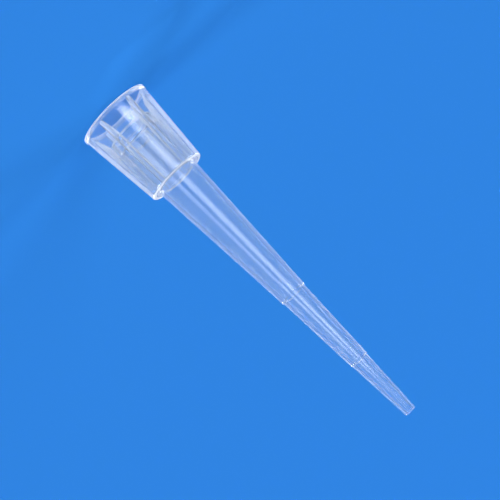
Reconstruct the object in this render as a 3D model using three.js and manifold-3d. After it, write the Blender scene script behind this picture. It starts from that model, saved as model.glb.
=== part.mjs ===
// A graduated 10 microlitre pipette tip, moulded in one piece of clear polypropylene.
// Millimetres, +Z up. The tip stands on the rim of its collar, with its outlet at the top.
import * as THREE from 'three';
import Module from 'manifold-3d';
import { mergeVertices } from 'three/addons/utils/BufferGeometryUtils.js';

// Driving dimensions. Heights are measured from the rim.
const LENGTH = 31.5;
const SEGMENTS = 72;

// Collar: a thin outer skirt that flares towards the rim.
const COLLAR_HEIGHT = 6.83;
const RIM_RADIUS = 3.03;
const LIP_HEIGHT = 0.24;
const LIP_STEP = 0.09;
const LIP_ROUND = 0.06;
const SKIRT_RADIUS_AT_RIM = 3.0;
const SKIRT_RADIUS_AT_FLOOR = 2.41;
const SKIRT_WALL = 0.34;
const COLLAR_CORNER = 0.12;
const CORNER_BULGE = 0.3;
const FLOOR_THICKNESS = 0.12;

// Socket tube inside the collar, which takes the pipette's nozzle. Its root is a little thicker.
const SOCKET_MOUTH_HEIGHT = 1.78;
const SOCKET_OUTER = 1.9;
const SHOULDER_HEIGHT = 2.95;
const SHOULDER_RADIUS = 2.04;
const SHOULDER_SLOPE = 0.1;
const SOCKET_BORE_AT_MOUTH = 1.62;
const SOCKET_BORE_AT_FOOT = 1.5;
const MOUTH_CHAMFER = 0.1;
const MOUTH_CHAMFER_HEIGHT = 0.14;
const SEAL_HEIGHT = 2.85;
const SEAL_WIDTH = 0.36;
const SEAL_RISE = 0.03;

// Ribs between the skirt and the socket tube.
const RIB_COUNT = 6;
const RIB_THICKNESS = 0.4;
const RIB_ROOT = 0.12;
const RIB_START_HEIGHT = 0.15;
const RIB_END_HEIGHT = 2.1;
const RIB_EDGE_BEND = { radius: 2.2, height: 0.8 };
const RIB_EDGE_STEPS = 8;

// Stem outside, which steps in at each of its two volume marks.
const STEM_RADIUS_AT_COLLAR = 1.785;
const STEM_FILLET = 0.05;
const UPPER_MARK = { height: 26.2, before: 0.77, after: 0.722 };
const LOWER_MARK = { height: 19.27, before: 1.125, after: 1.048, landStart: 18.35, landRadius: 1.148 };
const MARK_SLOPE = 0.05;
const OUTLET_RADIUS = 0.455;

// Stem bore. It holds 2 microlitres above the upper mark and 10 above the lower one.
const BORE_AT_OUTLET = 0.23;
const BORE_AT_UPPER_MARK = 0.437;
const BORE_AT_LOWER_MARK = 0.757;
const BORE_FOOT_HEIGHT = 7.15;
const BORE_AT_FOOT = 1.465;

// Vertices closer than this are one vertex.
const WELD = 1e-4;

// A value that runs straight from a at height za to b at height zb.
function along(z, za, a, zb, b) {
  return a + ((b - a) * (z - za)) / (zb - za);
}

function skirtOuter(z) {
  return along(z, 0, SKIRT_RADIUS_AT_RIM, COLLAR_HEIGHT, SKIRT_RADIUS_AT_FLOOR);
}

function skirtInner(z) {
  return skirtOuter(z) - SKIRT_WALL;
}

function socketBore(z) {
  return along(z, SOCKET_MOUTH_HEIGHT, SOCKET_BORE_AT_MOUTH, BORE_FOOT_HEIGHT, SOCKET_BORE_AT_FOOT);
}

// The outside, from the rim up to the outlet, as [radius, height] pairs.
function outsideProfile() {
  const lipFoot = LIP_HEIGHT + LIP_STEP;
  const cornerStart = COLLAR_HEIGHT - COLLAR_CORNER;
  const bulge = COLLAR_CORNER * CORNER_BULGE;
  return [
    [RIM_RADIUS - LIP_ROUND, 0],
    [RIM_RADIUS, LIP_ROUND],
    [RIM_RADIUS, LIP_HEIGHT],
    [skirtOuter(lipFoot), lipFoot],
    [skirtOuter(cornerStart), cornerStart],
    [skirtOuter(cornerStart) - bulge, COLLAR_HEIGHT - bulge],
    [skirtOuter(cornerStart) - COLLAR_CORNER, COLLAR_HEIGHT],
    [STEM_RADIUS_AT_COLLAR + STEM_FILLET, COLLAR_HEIGHT],
    [STEM_RADIUS_AT_COLLAR, COLLAR_HEIGHT + STEM_FILLET],
    [LOWER_MARK.landRadius, LOWER_MARK.landStart],
    [LOWER_MARK.before, LOWER_MARK.height - MARK_SLOPE],
    [LOWER_MARK.after, LOWER_MARK.height],
    [UPPER_MARK.before, UPPER_MARK.height - MARK_SLOPE],
    [UPPER_MARK.after, UPPER_MARK.height],
    [OUTLET_RADIUS, LENGTH],
  ];
}

// The bore, from the outlet down through the stem and the socket tube to its mouth.
function boreProfile() {
  const sealFoot = SEAL_HEIGHT + SEAL_WIDTH / 2;
  const sealHead = SEAL_HEIGHT - SEAL_WIDTH / 2;
  const chamferFoot = SOCKET_MOUTH_HEIGHT + MOUTH_CHAMFER_HEIGHT;
  return [
    [BORE_AT_OUTLET, LENGTH],
    [BORE_AT_UPPER_MARK, UPPER_MARK.height],
    [BORE_AT_LOWER_MARK, LOWER_MARK.height],
    [BORE_AT_FOOT, BORE_FOOT_HEIGHT],
    [socketBore(sealFoot), sealFoot],
    [socketBore(SEAL_HEIGHT) - SEAL_RISE, SEAL_HEIGHT],
    [socketBore(sealHead), sealHead],
    [socketBore(chamferFoot), chamferFoot],
    [SOCKET_BORE_AT_MOUTH + MOUTH_CHAMFER, SOCKET_MOUTH_HEIGHT],
  ];
}

// The ring-shaped pocket between the socket tube and the skirt, back to the rim.
function pocketProfile() {
  const floor = COLLAR_HEIGHT - FLOOR_THICKNESS;
  return [
    [SOCKET_OUTER, SOCKET_MOUTH_HEIGHT],
    [SOCKET_OUTER, SHOULDER_HEIGHT - SHOULDER_SLOPE],
    [SHOULDER_RADIUS, SHOULDER_HEIGHT],
    [SOCKET_OUTER, floor],
    [skirtInner(floor), floor],
    [skirtInner(LIP_ROUND), LIP_ROUND],
    [skirtInner(0) + LIP_ROUND / 2, 0],
  ];
}

function revolvedBody() {
  const profile = [...outsideProfile(), ...boreProfile(), ...pocketProfile()];
  profile.push(profile[0]);
  const points = profile.map(([radius, height]) => new THREE.Vector2(radius, height));
  return new THREE.LatheGeometry(points, SEGMENTS).rotateX(Math.PI / 2);
}

// One rib in the plane of the axis, pointing along +X. Its two long edges are rooted inside the walls.
function ribGeometry() {
  const foot = COLLAR_HEIGHT - FLOOR_THICKNESS / 2;
  const edge = new THREE.QuadraticBezierCurve(
    new THREE.Vector2(skirtInner(RIB_START_HEIGHT), RIB_START_HEIGHT),
    new THREE.Vector2(RIB_EDGE_BEND.radius, RIB_EDGE_BEND.height),
    new THREE.Vector2(SOCKET_OUTER, RIB_END_HEIGHT),
  );
  const outline = new THREE.Shape();
  outline.moveTo(skirtInner(foot) + RIB_ROOT, foot);
  outline.lineTo(skirtInner(RIB_START_HEIGHT) + RIB_ROOT, RIB_START_HEIGHT);
  for (const point of edge.getPoints(RIB_EDGE_STEPS)) {
    outline.lineTo(point.x, point.y);
  }
  outline.lineTo(SOCKET_OUTER - RIB_ROOT, RIB_END_HEIGHT);
  outline.lineTo(SOCKET_OUTER - RIB_ROOT, foot);
  outline.closePath();
  const rib = new THREE.ExtrudeGeometry(outline, { depth: RIB_THICKNESS, bevelEnabled: false });
  return rib.translate(0, 0, -RIB_THICKNESS / 2).rotateX(Math.PI / 2);
}

const wasm = await Module();
wasm.setup();

// A closed three.js geometry as a manifold-3d solid.
function toSolid(geometry) {
  const bare = geometry.clone();
  bare.deleteAttribute('normal');
  bare.deleteAttribute('uv');
  const merged = mergeVertices(bare, WELD);
  const vertProperties = new Float32Array(merged.attributes.position.array);
  const triVerts = new Uint32Array(merged.index.array);
  return new wasm.Manifold(new wasm.Mesh({ numProp: 3, vertProperties, triVerts }));
}

function toGeometry(solid) {
  const mesh = solid.getMesh();
  const geometry = new THREE.BufferGeometry();
  geometry.setAttribute('position', new THREE.BufferAttribute(mesh.vertProperties, 3));
  geometry.setIndex(new THREE.BufferAttribute(mesh.triVerts, 1));
  geometry.computeVertexNormals();
  return geometry;
}

function tipGeometry() {
  let solid = toSolid(revolvedBody());
  for (let i = 0; i < RIB_COUNT; i += 1) {
    const rib = ribGeometry().rotateZ((i * 2 * Math.PI) / RIB_COUNT);
    solid = solid.add(toSolid(rib));
  }
  return toGeometry(solid);
}

const polypropylene = new THREE.MeshStandardMaterial({
  color: 0xdde8f4,
  roughness: 0.22,
  metalness: 0,
  transparent: true,
  opacity: 0.45,
});

const tip = new THREE.Mesh(tipGeometry(), polypropylene);
tip.name = 'pipette_tip';

const part = new THREE.Group();
part.add(tip);

export default part;
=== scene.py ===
# %% [markdown]
# # A 10 microlitre pipette tip
#
# The object is one small injection moulding in natural polypropylene: a graduated stem that ends in
# a fine outlet, and a wide collar that hides a socket for the pipette's nozzle. This lesson makes it
# again as a smooth surface, gives it the clear, faintly milky finish of the real plastic, and lights
# it as a small product shot. The packed model is loaded first, because the tip's length and rim
# are read from it.

# %% Load the packed model
import math

import bmesh
import bpy
from mathutils import Matrix, Vector


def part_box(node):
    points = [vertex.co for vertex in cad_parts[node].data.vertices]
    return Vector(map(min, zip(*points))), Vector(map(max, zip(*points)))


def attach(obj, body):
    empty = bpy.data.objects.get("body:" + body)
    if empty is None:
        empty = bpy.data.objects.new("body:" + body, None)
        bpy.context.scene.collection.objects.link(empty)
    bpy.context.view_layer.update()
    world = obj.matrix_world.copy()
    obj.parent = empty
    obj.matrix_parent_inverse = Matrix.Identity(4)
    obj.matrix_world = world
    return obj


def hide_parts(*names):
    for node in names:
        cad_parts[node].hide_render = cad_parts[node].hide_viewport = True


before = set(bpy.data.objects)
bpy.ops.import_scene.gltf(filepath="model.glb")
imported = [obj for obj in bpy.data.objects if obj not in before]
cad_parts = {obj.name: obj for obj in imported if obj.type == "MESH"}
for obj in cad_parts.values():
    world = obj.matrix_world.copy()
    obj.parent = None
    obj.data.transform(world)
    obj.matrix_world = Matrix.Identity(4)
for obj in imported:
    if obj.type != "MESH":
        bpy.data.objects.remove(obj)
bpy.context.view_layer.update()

MM = 0.001
tip_low, tip_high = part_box("pipette_tip")
TIP_END = (tip_high.z - tip_low.z) / MM
RIM_RADIUS = (tip_high.x - tip_low.x) / 2 / MM
print(f"tip: {TIP_END:.2f} mm long, {2 * RIM_RADIUS:.2f} mm across the rim")

# %% [markdown]
# ## Driving dimensions
#
# A mould drawing gives a tip by a few diameters, each at a height above the rim. The length and the
# rim come from the packed model; the rest are given here, in millimetres. A tip this
# small is drawn to hundredths, because its socket has to seal on a nozzle by friction alone.

# %% Name the sizes of the collar
COLLAR_HEIGHT = 6.83
SKIRT_AT_RIM, SKIRT_AT_FLOOR, SKIRT_WALL = 3.0, 2.41, 0.34
LIP_HEIGHT, LIP_STEP = 0.24, 0.09
FLOOR_THICKNESS = 0.12

SOCKET_MOUTH, SOCKET_OUTER = 1.78, 1.9
SHOULDER_HEIGHT, SHOULDER_SLOPE, SHOULDER_RADIUS = 2.95, 0.1, 2.04
SOCKET_BORE_AT_MOUTH, SOCKET_BORE_AT_FOOT = 1.62, 1.5
MOUTH_CHAMFER, MOUTH_CHAMFER_HEIGHT = 0.1, 0.14
SEAL_HEIGHT, SEAL_WIDTH, SEAL_RISE = 2.85, 0.36, 0.03

RIB_COUNT, RIB_THICKNESS, RIB_ROOT = 6, 0.4, 0.12
RIB_START, RIB_END = 0.15, 2.1
RIB_BEND_RADIUS, RIB_BEND_HEIGHT = 2.2, 0.8
print(f"collar: {COLLAR_HEIGHT} mm deep, skirt wall {SKIRT_WALL} mm, {RIB_COUNT} ribs")

# %% Name the sizes of the stem
STEM_AT_COLLAR = 1.785
LOWER_LAND, LOWER_LAND_RADIUS = 18.35, 1.148
LOWER_MARK, LOWER_BEFORE, LOWER_AFTER = 19.27, 1.125, 1.048
UPPER_MARK, UPPER_BEFORE, UPPER_AFTER = 26.2, 0.77, 0.722
MARK_SLOPE = 0.05
OUTLET_RADIUS = 0.455

BORE_FOOT, BORE_AT_FOOT = 7.15, 1.465
BORE_AT_LOWER_MARK, BORE_AT_UPPER_MARK, BORE_AT_OUTLET = 0.757, 0.437, 0.23
print(f"stem: {TIP_END - COLLAR_HEIGHT:.2f} mm, marks at {LOWER_MARK} and {UPPER_MARK} mm")

# %% Name the radius of each rounded edge
LIP_ROUND, LIP_FOOT_ROUND = 0.06, 0.1
COLLAR_CORNER, STEM_FILLET = 0.12, 0.05
LAND_BLEND, LOWER_MARK_ROUND, UPPER_MARK_ROUND = 0.8, 0.03, 0.02
OUTLET_ROUND, BORE_BLEND, BORE_FOOT_BLEND = 0.03, 0.5, 0.3
SEAL_FOOT_BLEND, SEAL_CREST = 0.2, 0.3
CHAMFER_ROUND, MOUTH_ROUND = 0.1, 0.04
SHOULDER_ROUND, POCKET_ROUND = 0.05, 0.09
print(f"sharpest edge {UPPER_MARK_ROUND} mm, softest {LAND_BLEND} mm")


# %% Straight tapers between two heights
def along(z, z_a, a, z_b, b):
    """A value that runs straight from a at height z_a to b at height z_b."""
    return a + (b - a) * (z - z_a) / (z_b - z_a)


def skirt_outer(z):
    return along(z, 0, SKIRT_AT_RIM, COLLAR_HEIGHT, SKIRT_AT_FLOOR)


def skirt_inner(z):
    return skirt_outer(z) - SKIRT_WALL


def socket_bore(z):
    return along(z, SOCKET_MOUTH, SOCKET_BORE_AT_MOUTH, BORE_FOOT, SOCKET_BORE_AT_FOOT)


taper = math.degrees(math.atan((SKIRT_AT_RIM - SKIRT_AT_FLOOR) / COLLAR_HEIGHT))
print(f"the skirt's draft is {taper:.1f} degrees")

# %% [markdown]
# ## The wall's section
#
# The tip is a body of revolution, so its whole wall is one closed outline in the plane of the axis.
# It is written as corners, each with the radius that the mould maker's cutter left there. Bevels
# could round the finished mesh instead, but rounding the outline first costs nothing and gives every
# edge its own radius. Those radii matter on clear plastic: the bright lines of a real tip are light
# caught by its small rounded edges. A guard point just outside each arc keeps the flats flat, so
# that smooth shading bends only where the surface does.

# %% Round the corners of an outline
FILLET_STEPS = 4
GUARD = 1.12
LONGEST_REACH = 0.4


def filleted(corners):
    """Replaces each (radius, height, fillet) corner of a closed outline by an arc with two guards."""
    outline = []
    count = len(corners)
    for i, (r, z, fillet) in enumerate(corners):
        here = Vector((r, z))
        before = Vector(corners[i - 1][:2]) - here
        after = Vector(corners[(i + 1) % count][:2]) - here
        turn = before.angle(after)
        reach = min(fillet / math.tan(turn / 2), LONGEST_REACH * before.length,
                    LONGEST_REACH * after.length)
        radius = reach * math.tan(turn / 2)
        middle = (before.normalized() + after.normalized()).normalized()
        centre = here + middle * (radius / math.sin(turn / 2))
        side = 1 if before.cross(after) < 0 else -1
        arm = here + before.normalized() * reach - centre
        outline.append(here + before.normalized() * reach * GUARD)
        for step in range(FILLET_STEPS + 1):
            spin = Matrix.Rotation(side * (math.pi - turn) * step / FILLET_STEPS, 2)
            outline.append(centre + spin @ arm)
        outline.append(here + after.normalized() * reach * GUARD)
    return outline


# %% Write the corners of the outside
def outside_corners():
    lip_foot = LIP_HEIGHT + LIP_STEP
    return [
        (RIM_RADIUS, 0, LIP_ROUND),
        (RIM_RADIUS, LIP_HEIGHT, LIP_ROUND),
        (skirt_outer(lip_foot), lip_foot, LIP_FOOT_ROUND),
        (skirt_outer(COLLAR_HEIGHT), COLLAR_HEIGHT, COLLAR_CORNER),
        (STEM_AT_COLLAR, COLLAR_HEIGHT, STEM_FILLET),
        (LOWER_LAND_RADIUS, LOWER_LAND, LAND_BLEND),
        (LOWER_BEFORE, LOWER_MARK - MARK_SLOPE, LOWER_MARK_ROUND),
        (LOWER_AFTER, LOWER_MARK, LOWER_MARK_ROUND),
        (UPPER_BEFORE, UPPER_MARK - MARK_SLOPE, UPPER_MARK_ROUND),
        (UPPER_AFTER, UPPER_MARK, UPPER_MARK_ROUND),
        (OUTLET_RADIUS, TIP_END, OUTLET_ROUND),
    ]


print(f"outside: {len(outside_corners())} corners, from the rim up to the outlet")


# %% Write the corners of the bore and of the pocket round the socket tube
def bore_corners():
    ring_foot = SEAL_HEIGHT + SEAL_WIDTH / 2
    ring_head = SEAL_HEIGHT - SEAL_WIDTH / 2
    chamfer_foot = SOCKET_MOUTH + MOUTH_CHAMFER_HEIGHT
    return [
        (BORE_AT_OUTLET, TIP_END, OUTLET_ROUND),
        (BORE_AT_UPPER_MARK, UPPER_MARK, BORE_BLEND),
        (BORE_AT_LOWER_MARK, LOWER_MARK, BORE_BLEND),
        (BORE_AT_FOOT, BORE_FOOT, BORE_FOOT_BLEND),
        (socket_bore(ring_foot), ring_foot, SEAL_FOOT_BLEND),
        (socket_bore(SEAL_HEIGHT) - SEAL_RISE, SEAL_HEIGHT, SEAL_CREST),
        (socket_bore(ring_head), ring_head, SEAL_FOOT_BLEND),
        (socket_bore(chamfer_foot), chamfer_foot, CHAMFER_ROUND),
        (SOCKET_BORE_AT_MOUTH + MOUTH_CHAMFER, SOCKET_MOUTH, MOUTH_ROUND),
    ]


def pocket_corners():
    floor = COLLAR_HEIGHT - FLOOR_THICKNESS
    return [
        (SOCKET_OUTER, SOCKET_MOUTH, MOUTH_ROUND),
        (SOCKET_OUTER, SHOULDER_HEIGHT - SHOULDER_SLOPE, SHOULDER_ROUND),
        (SHOULDER_RADIUS, SHOULDER_HEIGHT, SHOULDER_ROUND),
        (SOCKET_OUTER, floor, POCKET_ROUND),
        (skirt_inner(floor), floor, POCKET_ROUND),
        (skirt_inner(0), 0, LIP_ROUND),
    ]


section = filleted(outside_corners() + bore_corners() + pocket_corners())
print(f"wall section: {len(section)} points")

# %% [markdown]
# ## A small language for node trees
#
# Shapes and finishes are both node trees here. Written by hand, a tree is long and hard to read, so
# two small classes stand in for it. A `Wire` is the output of a node, and Python's own arithmetic on
# wires adds the Math nodes. A `Tree` adds any other node with one method: its kind first, then its
# settings, then the values or wires of its sockets.


# %% Wires and trees
class Wire:
    """The output of a node. Arithmetic on it adds a Math node and gives that node's output."""

    def __init__(self, tree, socket):
        self.tree = tree
        self.socket = socket

    def __getitem__(self, name):
        """Another output of the same node, by its name or its number."""
        return Wire(self.tree, self.socket.node.outputs[name])

    def __add__(self, other):
        return self.tree.maths("ADD", self, other)

    def __sub__(self, other):
        return self.tree.maths("SUBTRACT", self, other)

    def __rsub__(self, other):
        return self.tree.maths("SUBTRACT", other, self)

    def __mul__(self, other):
        return self.tree.maths("MULTIPLY", self, other)

    def __truediv__(self, other):
        return self.tree.maths("DIVIDE", self, other)

    __radd__ = __add__
    __rmul__ = __mul__


class Tree:
    """Adds nodes to one node tree, of a shape or of a finish."""

    def __init__(self, tree):
        self.tree = tree

    def node(self, kind, settings=None, sockets=None):
        """Adds a node: its settings first, then a value, a wire or a list of wires for each socket."""
        made = self.tree.nodes.new(kind)
        for name, value in (settings or {}).items():
            setattr(made, name, value)
        for name, value in (sockets or {}).items():
            for item in value if isinstance(value, list) else [value]:
                if isinstance(item, Wire):
                    self.tree.links.new(item.socket, made.inputs[name])
                else:
                    made.inputs[name].default_value = item
        return Wire(self, made.outputs[0]) if made.outputs else made

    def maths(self, operation, *values):
        return self.node("ShaderNodeMath", {"operation": operation}, dict(enumerate(values)))

    def rise(self, value, start, end):
        """0 below the start and 1 above the end, with a soft change between them."""
        return self.node("ShaderNodeMapRange", {"interpolation_type": "SMOOTHSTEP"},
                         {"Value": value, "From Min": start, "From Max": end})

    def fall(self, value, start, end):
        """1 below the start and 0 above the end, with a soft change between them."""
        return 1 - self.rise(value, start, end)


print("arithmetic that builds nodes:", [name for name in vars(Wire) if name.startswith("__r")])


# %% A mesh object at the origin
def mesh_object(name, points, faces=(), edges=()):
    mesh = bpy.data.meshes.new(name)
    mesh.from_pydata([tuple(p) for p in points], list(edges), list(faces))
    piece = bpy.data.objects.new(name, mesh)
    bpy.context.scene.collection.objects.link(piece)
    return piece


def tidy_mesh(piece, weld=0.0):
    """Merges doubled points, turns the faces outwards and counts the edges that are left open."""
    work = bmesh.new()
    work.from_mesh(piece.data)
    if weld:
        bmesh.ops.remove_doubles(work, verts=work.verts, dist=weld)
    bmesh.ops.recalc_face_normals(work, faces=work.faces)
    open_edges = sum(1 for edge in work.edges if len(edge.link_faces) != 2)
    volume = work.calc_volume(signed=True) / MM**3
    work.to_mesh(piece.data)
    work.free()
    print(f"{piece.name}: {len(piece.data.polygons)} faces, {open_edges} open edges, {volume:.2f} mm3")


# %% [markdown]
# ## One rib
#
# Six thin ribs tie the outer skirt to the socket tube. Each is a plate whose two long edges are
# rooted inside the walls, and whose free edge curves from the skirt down to the tube. On the real
# tip that edge is rounded, so a rib starts at the rim as a point and widens downwards. An extruded
# plate would start square, so the plate is built in layers: the further a layer is from the middle,
# the deeper its edge is set in.

# %% The rib's free edge
RIB_EDGE_STEPS = 14
RIB_ROUND, RIB_ROUND_STEPS = 0.12, 6


def rib_edge():
    """The free edge, from inside the skirt, along its curve and into the socket tube."""
    start = Vector((skirt_inner(RIB_START), RIB_START))
    bend = Vector((RIB_BEND_RADIUS, RIB_BEND_HEIGHT))
    end = Vector((SOCKET_OUTER, RIB_END))
    curve = [start * (1 - t) ** 2 + bend * (2 * t * (1 - t)) + end * t**2
             for t in (i / RIB_EDGE_STEPS for i in range(RIB_EDGE_STEPS + 1))]
    into_skirt = (curve[0] - curve[1]).normalized() * RIB_ROOT
    into_tube = (curve[-1] - curve[-2]).normalized() * RIB_ROOT
    return [curve[0] + into_skirt, *curve, curve[-1] + into_tube]


def set_in(path, depth):
    """The same path, moved towards the rib's foot by the given depth."""
    moved = []
    for i, p in enumerate(path):
        heading = (path[min(i + 1, len(path) - 1)] - path[max(i - 1, 0)]).normalized()
        moved.append(p + Vector((heading.y, -heading.x)) * depth)
    return moved


print(f"rib edge: {len(rib_edge())} points")


# %% The rib as a closed plate
def rib_plate():
    foot = COLLAR_HEIGHT - FLOOR_THICKNESS / 2
    half = RIB_THICKNESS / 2
    edge = rib_edge()
    points = []
    for step in range(RIB_ROUND_STEPS + 1):
        turn = math.pi * step / RIB_ROUND_STEPS
        layer = set_in(edge, RIB_ROUND * (1 - math.sin(turn)))
        points += [(p.x * MM, -half * math.cos(turn) * MM, p.y * MM) for p in layer]
    feet = (SOCKET_OUTER - RIB_ROOT, skirt_inner(foot) + RIB_ROOT)
    points += [(r * MM, y * MM, foot * MM) for y in (-half, half) for r in feet]

    row = len(edge)
    last = RIB_ROUND_STEPS * row
    tube_foot, skirt_foot, far_tube_foot, far_skirt_foot = range(last + row, last + row + 4)
    faces = [(a, a + 1, a + 1 + row, a + row) for k in range(RIB_ROUND_STEPS)
             for a in range(k * row, k * row + row - 1)]
    faces.append((*range(row), tube_foot, skirt_foot))
    faces.append((*range(last + row - 1, last - 1, -1), far_skirt_foot, far_tube_foot))
    faces.append((*range(0, last + 1, row), far_skirt_foot, skirt_foot))
    faces.append((*range(last + row - 1, 0, -row), tube_foot, far_tube_foot))
    faces.append((tube_foot, far_tube_foot, far_skirt_foot, skirt_foot))
    plate = mesh_object("rib_plate", points, faces)
    tidy_mesh(plate)
    return plate


rib = rib_plate()

# %% [markdown]
# ## The moulding: one revolve, six ribs
#
# The mould cuts the skirt, the tube, the ribs and the stem from one cavity, so the piece has one
# continuous skin. Geometry Nodes follow the same rule: the section is swept round a circle, which is
# a lathe, one rib is copied at even turns round the axis, and an exact union joins them. Modelling
# the ribs by hand would tie their number into the mesh; here it is an input.


# %% The section as a loop of edges
def section_loop():
    """The section lies flat. The sweep turns its Y axis down the path's own axis, so Y is minus Z."""
    points = [(p.x * MM, -p.y * MM, 0) for p in section]
    edges = [(i, (i + 1) % len(points)) for i in range(len(points))]
    return mesh_object("section_loop", points, edges=edges)


loop = section_loop()
print(f"section loop: {len(loop.data.edges)} edges")


# %% The tree that sweeps, repeats and joins
def revolve_and_rib():
    group = bpy.data.node_groups.new("revolve_and_rib", "GeometryNodeTree")
    for name, kind in (("Section", "Object"), ("Segments", "Int"), ("Path Radius", "Float"),
                       ("Rib", "Object"), ("Rib Count", "Int"), ("Finish", "Material")):
        group.interface.new_socket(name, in_out="INPUT", socket_type="NodeSocket" + kind)
    group.interface.new_socket("Geometry", in_out="OUTPUT", socket_type="NodeSocketGeometry")
    tree = Tree(group)
    given = tree.node("NodeGroupInput")

    path = tree.node("GeometryNodeCurvePrimitiveCircle", None,
                     {"Resolution": given["Segments"], "Radius": given["Path Radius"]})
    outline = tree.node("GeometryNodeObjectInfo", None, {"Object": given["Section"]})["Geometry"]
    curve = tree.node("GeometryNodeMeshToCurve", None, {"Mesh": outline})
    inward = tree.node("ShaderNodeCombineXYZ", None, {"X": given["Path Radius"] * -1})
    profile = tree.node("GeometryNodeTransform", None, {"Geometry": curve, "Translation": inward})
    wall = tree.node("GeometryNodeCurveToMesh", None, {"Curve": path, "Profile Curve": profile})

    plate = tree.node("GeometryNodeObjectInfo", None, {"Object": given["Rib"]})["Geometry"]
    spots = tree.node("GeometryNodePoints", None, {"Count": given["Rib Count"]})
    number = tree.node("GeometryNodeInputIndex")
    turn = tree.node("ShaderNodeCombineXYZ", None, {"Z": 2 * math.pi * number / given["Rib Count"]})
    ring = tree.node("GeometryNodeInstanceOnPoints", None,
                     {"Points": spots, "Instance": plate, "Rotation": turn})
    ribs = tree.node("GeometryNodeRealizeInstances", None, {"Geometry": ring})

    joined = tree.node("GeometryNodeMeshBoolean", {"operation": "UNION", "solver": "EXACT"},
                       {"Mesh 2": [wall, ribs]})
    real = tree.node("GeometryNodeRealizeInstances", None, {"Geometry": joined})
    done = tree.node("GeometryNodeSetMaterial", None,
                     {"Geometry": real, "Material": given["Finish"]})
    tree.node("NodeGroupOutput", None, {"Geometry": done})
    return group


shape_tree = revolve_and_rib()
print(f"shape tree: {len(shape_tree.nodes)} nodes")


# %% Run a tree on a piece and keep the result as a plain mesh
def apply_tree(piece, group, values):
    modifier = piece.modifiers.new(group.name, "NODES")
    modifier.node_group = group
    for item in group.interface.items_tree:
        if item.in_out == "INPUT":
            modifier[item.identifier] = values[item.name]
    graph = bpy.context.evaluated_depsgraph_get()
    result = bpy.data.meshes.new_from_object(piece.evaluated_get(graph))
    piece.modifiers.remove(modifier)
    piece.data = result


print("inputs:", [i.name for i in shape_tree.interface.items_tree if i.in_out == "INPUT"])

# %% [markdown]
# ## Natural polypropylene
#
# Natural polypropylene is not glass. Light passes, but crystals smaller than a hair's width scatter
# a little of it on the way, so thin walls look clear and long paths along a wall look white. An
# alpha blend would lose the bright outlines, and a white shader the view inside. The finish is
# therefore a refracting surface round a thin scattering volume, with a milky share mixed in where
# the real skin is hazy: on the ribs, at the lip, and on the skirt wherever it is seen at a slant.
# The same milky skin is also laid on the rim's edge, the socket's shoulder and the seat round the
# foot of the stem as a painted highlight: it stands in for the bright lines that light catches on
# those edges, though the lamps still light it. The milky skin still passes most of its light,
# spread wide. The mould was polished outside and in the socket, and left matt at the lip, at the
# socket's mouth and in the narrow slots that form the ribs. It also left fine rings where the cores
# were turned, and faint streaks along the flow, both as bump.

# %% Name the numbers of the finish
INDEX = 1.49
WHITE = (1, 1, 1, 1)
CLEAR_TINT = (0.97, 0.98, 0.98, 1)
MILKY_TINT = (0.97, 0.98, 1.0, 1)
HAZE_PER_METRE = 320.0
POLISH, RIB_MATT, MOUTH_MATT, LIP_MATT = 0.08, 0.14, 0.35, 0.17
MILKY_ROUGHNESS, MILKY_PASSES = 0.9, 0.65
RINGS, RING_DETAIL, RING_DEPTH = (1500, 1500, 16000), 1.0, 1.2e-6
STREAKS, STREAK_DETAIL, STREAK_DEPTH = (2500, 2500, 120), 2.0, 6e-6

SLANT_START, SLANT_END = 0.46, 0.6
SKIRT_SLANT_HAZE, CLEAR_RIM_HAZE = 0.4, 0.35
STEM_SLANT_HAZE = 0.12
RIB_HAZE, LIP_HAZE = 0.9, 0.12
# Seat, shoulder and rim edge: milky white laid on these edges as a painted highlight, standing in for
# the light they catch.
SEAT_PAINTED_HIGHLIGHT, SHOULDER_PAINTED_HIGHLIGHT, RIM_EDGE_PAINTED_HIGHLIGHT = 0.65, 0.35, 0.6
print(f"one scatter in every {1000 / HAZE_PER_METRE:.1f} mm of plastic")


# %% Name the soft edges of the zones
COLLAR_TOP = COLLAR_HEIGHT + 0.02, COLLAR_HEIGHT + 0.1
SKIRT_FACE = skirt_inner(0) - 0.07, skirt_inner(0) - 0.02
ROOT_START = SHOULDER_HEIGHT - 0.2, SHOULDER_HEIGHT - SHOULDER_SLOPE
TUBE_FACE = SOCKET_OUTER + 0.03, SOCKET_OUTER + 0.1
SHOULDER_START = SHOULDER_HEIGHT - 0.11, SHOULDER_HEIGHT - 0.07
SHOULDER_END = SHOULDER_HEIGHT, SHOULDER_HEIGHT + 0.04
SHOULDER_INSIDE = SOCKET_OUTER - 0.06, SOCKET_OUTER - 0.02
SHOULDER_OUTSIDE = SHOULDER_RADIUS + 0.06, SHOULDER_RADIUS + 0.1
SEAT_START = COLLAR_HEIGHT - 0.07, COLLAR_HEIGHT - 0.02
SEAT_INSIDE = STEM_AT_COLLAR + 0.015, STEM_AT_COLLAR + 0.075
MOUTH_END = SOCKET_MOUTH + 0.1, SOCKET_MOUTH + 0.2
MOUTH_OUTSIDE = SOCKET_OUTER, SOCKET_OUTER + 0.06
LIP_END = LIP_HEIGHT + 0.06, LIP_HEIGHT + 0.16
RIM_EDGE_END = LIP_ROUND, LIP_ROUND + 0.04
CLEAR_RIM_END = 0.4, 1.6
print(f"the collar's zones fade out between {COLLAR_TOP[0]:.2f} and {COLLAR_TOP[1]:.2f} mm")


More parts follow.
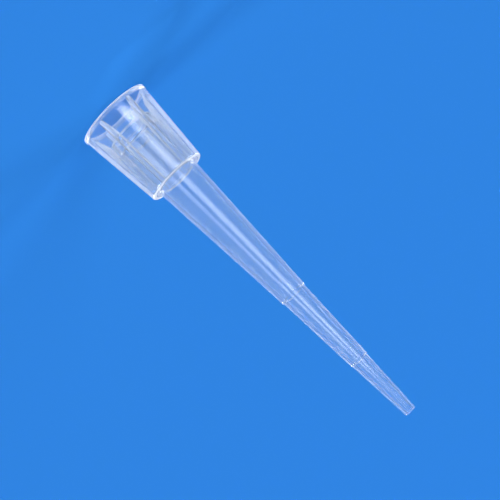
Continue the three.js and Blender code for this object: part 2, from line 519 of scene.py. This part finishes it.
# %% Where on the tip a point of the surface lies
def tip_zones(tree, place):
    """Soft masks, from 0 to 1, that name the parts of the moulding by height and radius in mm."""
    split = tree.node("ShaderNodeSeparateXYZ", None, {"Vector": place})
    height = split["Z"] / MM
    radius = tree.maths("SQRT", split["X"] * split["X"] + split["Y"] * split["Y"]) / MM
    draft = (SKIRT_AT_RIM - SKIRT_AT_FLOOR) / COLLAR_HEIGHT
    wider = (SHOULDER_RADIUS - SOCKET_OUTER) * tree.rise(height, *ROOT_START)
    skirt = tree.rise(radius + draft * height, *SKIRT_FACE)
    tube = tree.fall(radius - wider, *TUBE_FACE)
    shoulder = (tree.rise(height, *SHOULDER_START) * tree.fall(height, *SHOULDER_END)
                * tree.rise(radius, *SHOULDER_INSIDE) * tree.fall(radius, *SHOULDER_OUTSIDE))
    return {
        "collar": tree.fall(height, *COLLAR_TOP),
        "skirt": skirt,
        "rib": 1 - skirt - tube,
        "mouth": tree.fall(height, *MOUTH_END) * tree.fall(radius, *MOUTH_OUTSIDE),
        "lip": tree.fall(height, *LIP_END),
        "rim_edge": tree.fall(height, *RIM_EDGE_END),
        "above_rim": tree.rise(height, *CLEAR_RIM_END),
        "shoulder": shoulder,
        "seat": tree.rise(height, *SEAT_START) * tree.rise(radius, *SEAT_INSIDE),
    }


print("zones are read from Object coordinates, in millimetres")


# %% How milky the skin is in each zone
def milky_share(tree, zone):
    """The share of the skin that is milky: hazy, little where it faces the eye and more at a slant,
    with a painted highlight on three edges.
    """
    facing = tree.node("ShaderNodeLayerWeight")["Facing"]
    slant = tree.rise(facing, SLANT_START, SLANT_END)
    above_rim = CLEAR_RIM_HAZE + (1 - CLEAR_RIM_HAZE) * zone["above_rim"]
    skirt = SKIRT_SLANT_HAZE * zone["skirt"] * above_rim * slant
    # The lip's own haze, and on the rim's edge, the shoulder and the seat a painted highlight of milky
    # white.
    edges = (LIP_HAZE * zone["lip"] + RIM_EDGE_PAINTED_HIGHLIGHT * zone["rim_edge"]
             + SHOULDER_PAINTED_HIGHLIGHT * zone["shoulder"] + SEAT_PAINTED_HIGHLIGHT * zone["seat"])
    stem = STEM_SLANT_HAZE * slant
    return stem + zone["collar"] * (skirt + RIB_HAZE * zone["rib"] + edges - stem)


print(f"milky share: ribs {RIB_HAZE}, skirt at a slant {SKIRT_SLANT_HAZE}")


# %% The marks that the mould left
def marks(tree, place, per_metre, detail):
    """Noise with its own number of marks per metre along each axis."""
    stretched = tree.node("ShaderNodeMapping", None, {"Vector": place, "Scale": per_metre})
    return tree.node("ShaderNodeTexNoise", None,
                     {"Vector": stretched, "Scale": 1.0, "Detail": detail})["Fac"]


def moulded_normal(tree, place):
    turned = tree.node("ShaderNodeBump", None,
                       {"Height": marks(tree, place, RINGS, RING_DETAIL), "Distance": RING_DEPTH})
    return tree.node("ShaderNodeBump", None,
                     {"Height": marks(tree, place, STREAKS, STREAK_DETAIL),
                      "Distance": STREAK_DEPTH, "Normal": turned})


print(f"ring depth {RING_DEPTH * 1e6:.1f} micrometres, streak depth {STREAK_DEPTH * 1e6:.0f}")


# %% Make the finish
def clear_polypropylene():
    material = bpy.data.materials.new("clear_polypropylene")
    material.use_nodes = True
    material.node_tree.nodes.clear()
    tree = Tree(material.node_tree)
    place = tree.node("ShaderNodeTexCoord")["Object"]
    zone = tip_zones(tree, place)
    normal = moulded_normal(tree, place)
    matt = RIB_MATT * zone["rib"] + MOUTH_MATT * zone["mouth"] + LIP_MATT * zone["lip"]
    roughness = POLISH + zone["collar"] * matt
    clear = tree.node("ShaderNodeBsdfPrincipled", None,
                      {"Base Color": CLEAR_TINT, "Roughness": roughness, "IOR": INDEX,
                       "Transmission Weight": 1.0, "Normal": normal})
    milky = tree.node("ShaderNodeBsdfPrincipled", None,
                      {"Base Color": MILKY_TINT, "Roughness": MILKY_ROUGHNESS, "IOR": INDEX,
                       "Transmission Weight": MILKY_PASSES, "Normal": normal})
    surface = tree.node("ShaderNodeMixShader", None,
                        {0: milky_share(tree, zone), 1: clear, 2: milky})
    haze = tree.node("ShaderNodeVolumeScatter", None,
                     {"Color": WHITE, "Density": HAZE_PER_METRE})
    tree.node("ShaderNodeOutputMaterial", None, {"Surface": surface, "Volume": haze})
    return material


finish = clear_polypropylene()
print(f"{finish.name}: {len(finish.node_tree.nodes)} nodes")

# %% [markdown]
# ## From tree to piece
#
# The tree runs once and its result is kept as a plain mesh. The union leaves a few doubled points
# along its seams, so they are merged, and an angle limit keeps the small steps at the volume marks
# crisp while the rounded edges stay smooth.

# %% Make the moulding
AROUND = 168
SHARP_ANGLE = math.radians(32)
WELD = 1e-7

tip = mesh_object("tip_moulding", [(0, 0, 0)])
apply_tree(tip, shape_tree, {"Section": loop, "Segments": AROUND, "Path Radius": MM, "Rib": rib,
                             "Rib Count": RIB_COUNT, "Finish": finish})
for helper in (loop, rib):
    bpy.data.objects.remove(helper)
tidy_mesh(tip, WELD)
tip.data.shade_smooth()
tip.data.set_sharp_from_angle(angle=SHARP_ANGLE)

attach(tip, "root")
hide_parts("pipette_tip")

# %% [markdown]
# ## The set
#
# Clear plastic shows what is behind it, so the set is half of the look. A tip is looked at on a
# coloured sheet, because its pale outlines vanish on white. The floor is a plain blue sheet that
# meets a low wall far behind: every line of sight that leaves the tip nearly level then ends on the
# same blue, as on a real sheet. A floor alone would let those lines end on the bright studio, and
# each small fillet would glint.


# %% Plain paper
PAPER_ROUGHNESS, PAPER_GLOSS = 0.8, 0.0


def plain_paper(name, colour):
    material = bpy.data.materials.new(name)
    material.use_nodes = True
    shader = material.node_tree.nodes["Principled BSDF"]
    shader.inputs["Base Color"].default_value = (*colour, 1)
    shader.inputs["Roughness"].default_value = PAPER_ROUGHNESS
    shader.inputs["Specular IOR Level"].default_value = PAPER_GLOSS
    return material


print(f"paper: roughness {PAPER_ROUGHNESS}, gloss {PAPER_GLOSS}")

# %% The floor
FLOOR_REACH = 8.0
FLOOR_DROP = -2e-5
FLOOR_BLUE = (0.032, 0.243, 0.75)
corners = [(-1, -1), (1, -1), (1, 1), (-1, 1)]
floor = mesh_object("floor", [(x * FLOOR_REACH, y * FLOOR_REACH, FLOOR_DROP) for x, y in corners],
                    faces=[(0, 1, 2, 3)])
floor.data.materials.append(plain_paper("floor_paper", FLOOR_BLUE))
print(f"floor: {2 * FLOOR_REACH:.0f} m square")

# %% The low wall behind
VIEW_TURN = math.radians(-84.5)
WALL_DISTANCE, WALL_HEIGHT = 3.5, 1.6
WALL_SPREAD = math.radians(80)
WALL_STEPS = 48
WALL_BLUE = (0.029, 0.232, 0.73)

turns = [VIEW_TURN + math.pi + WALL_SPREAD * (2 * i / WALL_STEPS - 1) for i in range(WALL_STEPS + 1)]
wall_points = [(WALL_DISTANCE * math.cos(a), WALL_DISTANCE * math.sin(a), z)
               for z in (FLOOR_DROP, WALL_HEIGHT) for a in turns]
row = WALL_STEPS + 1
backdrop = mesh_object("backdrop", wall_points,
                       faces=[(i, i + row, i + row + 1, i + 1) for i in range(WALL_STEPS)])
backdrop.data.materials.append(plain_paper("backdrop_paper", WALL_BLUE))
print(f"backdrop: {WALL_HEIGHT} m high, {WALL_DISTANCE} m away")

# %% [markdown]
# ## The camera
#
# A tip is drawn corner to corner, so that its full length fills a square frame. The camera looks a
# little down on the standing tip, and rolls so that the outlet points down and to the right. Moving
# the tip instead would break the frame that it shares with the packed model. The lens is long, which
# keeps the slim taper true.

# %% Place the camera
VIEW_RISE = math.radians(10.67)
VIEW_DISTANCE = 0.297
AIM_HEIGHT = 14.6 * MM
ROLL = math.radians(135.1)
SENSOR, LENS = 36.0, 289.7
CLIP_START, CLIP_END = 0.01, 40

aim = Vector((0, 0, AIM_HEIGHT))
back = Vector((math.cos(VIEW_TURN) * math.cos(VIEW_RISE),
               math.sin(VIEW_TURN) * math.cos(VIEW_RISE), math.sin(VIEW_RISE)))
right = Vector((0, 0, 1)).cross(back).normalized()
up = back.cross(right)
rolled_right = right * math.cos(ROLL) + up * math.sin(ROLL)
rolled_up = up * math.cos(ROLL) - right * math.sin(ROLL)
camera_data = bpy.data.cameras.new("camera")
camera_data.lens = LENS
camera_data.sensor_width = SENSOR
camera_data.clip_start = CLIP_START
camera_data.clip_end = CLIP_END
camera = bpy.data.objects.new("camera", camera_data)
bpy.context.scene.collection.objects.link(camera)
axes = Matrix((rolled_right, rolled_up, back)).transposed().to_4x4()
camera.matrix_world = Matrix.Translation(aim + back * VIEW_DISTANCE) @ axes
bpy.context.scene.camera = camera
print(f"camera: {VIEW_DISTANCE / MM:.0f} mm away, {LENS:.0f} mm lens")

# %% [markdown]
# ## The light
#
# Haze is lit best from the side: low soft boxes a few metres away light the walls of the tip more
# than the floor, so the plastic looks pale on a deeper sheet. Two slim panels close to the tip give
# it the pair of long reflections that run down the stem, and a small card in front of the rim does
# the same for the skirt. They could be far away and large, but they would then shine through the
# ribs too. Their beams are kept narrow, so that they leave the floor alone.


# %% A soft box
WIDE_BEAM = 180


def soft_box(name, turn, distance, height, size, brightness, beam=WIDE_BEAM, target=aim):
    """A rectangular lamp that faces a target from a turn in degrees, with a given radiance."""
    a = math.radians(turn)
    width, tall = size
    lamp = bpy.data.lights.new(name, "AREA")
    lamp.shape = "RECTANGLE"
    lamp.size = width
    lamp.size_y = tall
    lamp.spread = math.radians(beam)
    lamp.energy = brightness * math.pi * width * tall
    box = bpy.data.objects.new(name, lamp)
    bpy.context.scene.collection.objects.link(box)
    box.location = (distance * math.cos(a), distance * math.sin(a), height)
    box.rotation_mode = "QUATERNION"
    box.rotation_quaternion = (target - box.location).to_track_quat("-Z", "Y")
    box.visible_camera = False
    return box


print(f"a soft box spreads its light over {WIDE_BEAM} degrees, unless its beam is narrowed")

# %% The studio's large soft boxes
SOFT_DISTANCE, SOFT_HEIGHT, SOFT_TALL = 2.95, 0.44, 0.9
SOFT_BOXES = (
    ("front_right", -118, 1.6, 12.5),
    ("side_left", -8, 1.6, 17.5),
    ("side_right", 177, 1.6, 9.0),
    ("back_left", 50, 1.2, 21.0),
    ("back_right", 140, 1.2, 14.0),
)
for name, turn, width, brightness in SOFT_BOXES:
    soft_box(name, turn, SOFT_DISTANCE, SOFT_HEIGHT, (width, SOFT_TALL), brightness)
    print(f"{name}: at {turn} degrees, {width} m wide, radiance {brightness}")

# %% The close panels
PANEL_DISTANCE, PANEL_TALL, PANEL_BEAM = 60 * MM, 25 * MM, 50
PANELS = (
    ("panel_right", -107, 38 * MM, 0.33),
    ("panel_left", -62, 24 * MM, 0.19),
)
for name, turn, width, brightness in PANELS:
    soft_box(name, turn, PANEL_DISTANCE, PANEL_TALL / 2, (width, PANEL_TALL), brightness, PANEL_BEAM)
    print(f"{name}: {width / MM:.0f} mm wide, {PANEL_TALL / MM:.0f} mm tall")

# %% The card in front of the rim
CARD_TURN, CARD_DISTANCE, CARD_BEAM, CARD_BRIGHTNESS = -112, 12 * MM, 60, 0.7
CARD_TALL, CARD_WIDTH = 1.5 * MM, 6.9 * MM
CARD_HEIGHT = CARD_TALL / 2
soft_box("rim_card", CARD_TURN, CARD_DISTANCE, CARD_HEIGHT, (CARD_WIDTH, CARD_TALL), CARD_BRIGHTNESS,
         CARD_BEAM, Vector((0, 0, CARD_HEIGHT)))
print(f"rim card: {CARD_WIDTH / MM:.1f} mm wide, {CARD_DISTANCE / MM:.0f} mm from the axis")

# %% The studio's own light
AMBIENT = 0.5
STUDIO_SEEN = (0.7, 0.85, 0.97, 1)
COLOUR_A, COLOUR_B, COLOUR_OUT = 6, 7, 2  # a Mix node's colour sockets share their names with others

world = bpy.data.worlds.new("studio")
bpy.context.scene.world = world
world.use_nodes = True
world.node_tree.nodes.clear()
sky = Tree(world.node_tree)
ray = sky.node("ShaderNodeLightPath")
seen = sky.maths("MAXIMUM", ray["Is Camera Ray"], ray["Is Glossy Ray"])
seen = sky.maths("MAXIMUM", seen, ray["Is Transmission Ray"])
tint = sky.node("ShaderNodeMix", {"data_type": "RGBA"},
                {"Factor": seen, COLOUR_A: WHITE, COLOUR_B: STUDIO_SEEN})[COLOUR_OUT]
glow = sky.node("ShaderNodeBackground", None,
                {"Color": tint, "Strength": AMBIENT + (1 - AMBIENT) * seen})
sky.node("ShaderNodeOutputWorld", None, {"Surface": glow})
print(f"ambient light {AMBIENT}, a seen studio of {STUDIO_SEEN[:3]}")

# %% [markdown]
# ## Long light paths
#
# Light is caught in a thin clear wall and turns back many times before it leaves, which is what makes
# the haze glow. With the usual few bounces it would be lost and the plastic would look grey, so the
# limits are raised.

# %% Set the light paths and the colour view
BOUNCES, HAZE_BOUNCES = 64, 16
scene = bpy.context.scene
scene.view_settings.view_transform = "Standard"
scene.cycles.max_bounces = BOUNCES
scene.cycles.transmission_bounces = BOUNCES
scene.cycles.glossy_bounces = BOUNCES
scene.cycles.volume_bounces = HAZE_BOUNCES
print(f"{BOUNCES} bounces, {HAZE_BOUNCES} in the haze")

# %% [markdown]
# ## The size
#
# The moulding must stay inside the box of the packed model.
